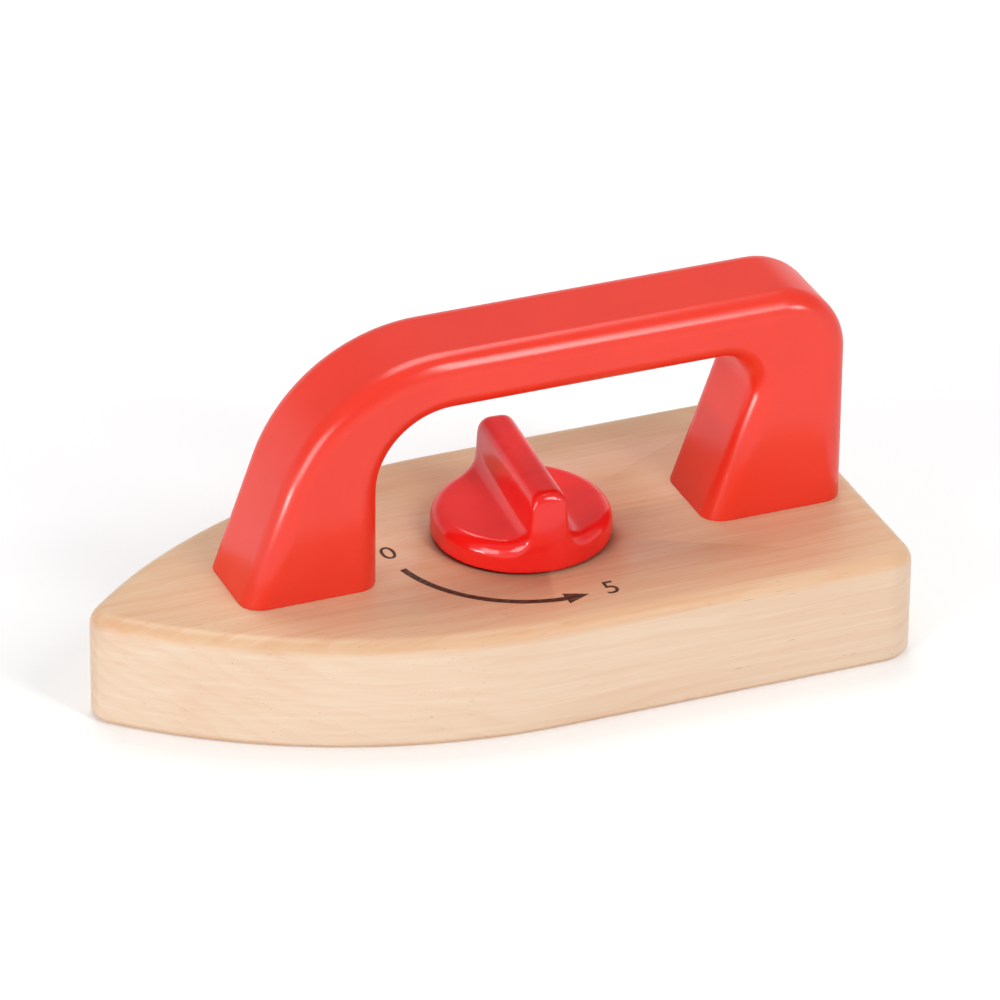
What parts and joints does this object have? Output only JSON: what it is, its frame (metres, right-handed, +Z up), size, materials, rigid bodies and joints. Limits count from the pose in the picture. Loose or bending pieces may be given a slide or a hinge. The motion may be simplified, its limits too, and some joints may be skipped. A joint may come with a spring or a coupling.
{
  "type": "toy iron",
  "caption": "Wooden toy iron: pointed sole block, arched red handle and a round dial with a finger bar that turns on the block.",
  "frame": {"origin": "centre of the bounding box on the underside of the sole block", "axes": "+X from the nose to the heel, +Z up through the handle, +Y across the block"},
  "size_m": [0.15, 0.0706, 0.0663],
  "materials": {
    "clear_wood": "pale hardwood under clear satin lacquer",
    "plug_wood": "pale hardwood under clear satin lacquer",
    "dowel_wood": "bare wood",
    "red_lacquer": "wood under gloss red lacquer",
    "dial_plastic": "gloss",
    "zinc_steel": "zinc plated",
    "fibre": "matte vulcanised fibre"
  },
  "bodies": {
    "block": {"sole_block": "clear_wood", "screw_plugs": "plug_wood", "dial_cover": "plug_wood", "handle": "red_lacquer", "handle_dowels": "dowel_wood", "handle_screws": "zinc_steel", "friction_washer": "fibre"},
    "dial": {"dial_knob": "dial_plastic", "dial_spacer": "zinc_steel", "dial_washer": "zinc_steel", "dial_screw": "zinc_steel"}
  },
  "joints": [
    {"name": "dial_turn", "type": "hinge", "parent": "block", "child": "dial", "pos_m": [0.0092, 0, 0.0221], "axis": [0, 0, 1], "continuous": true}
  ]
}
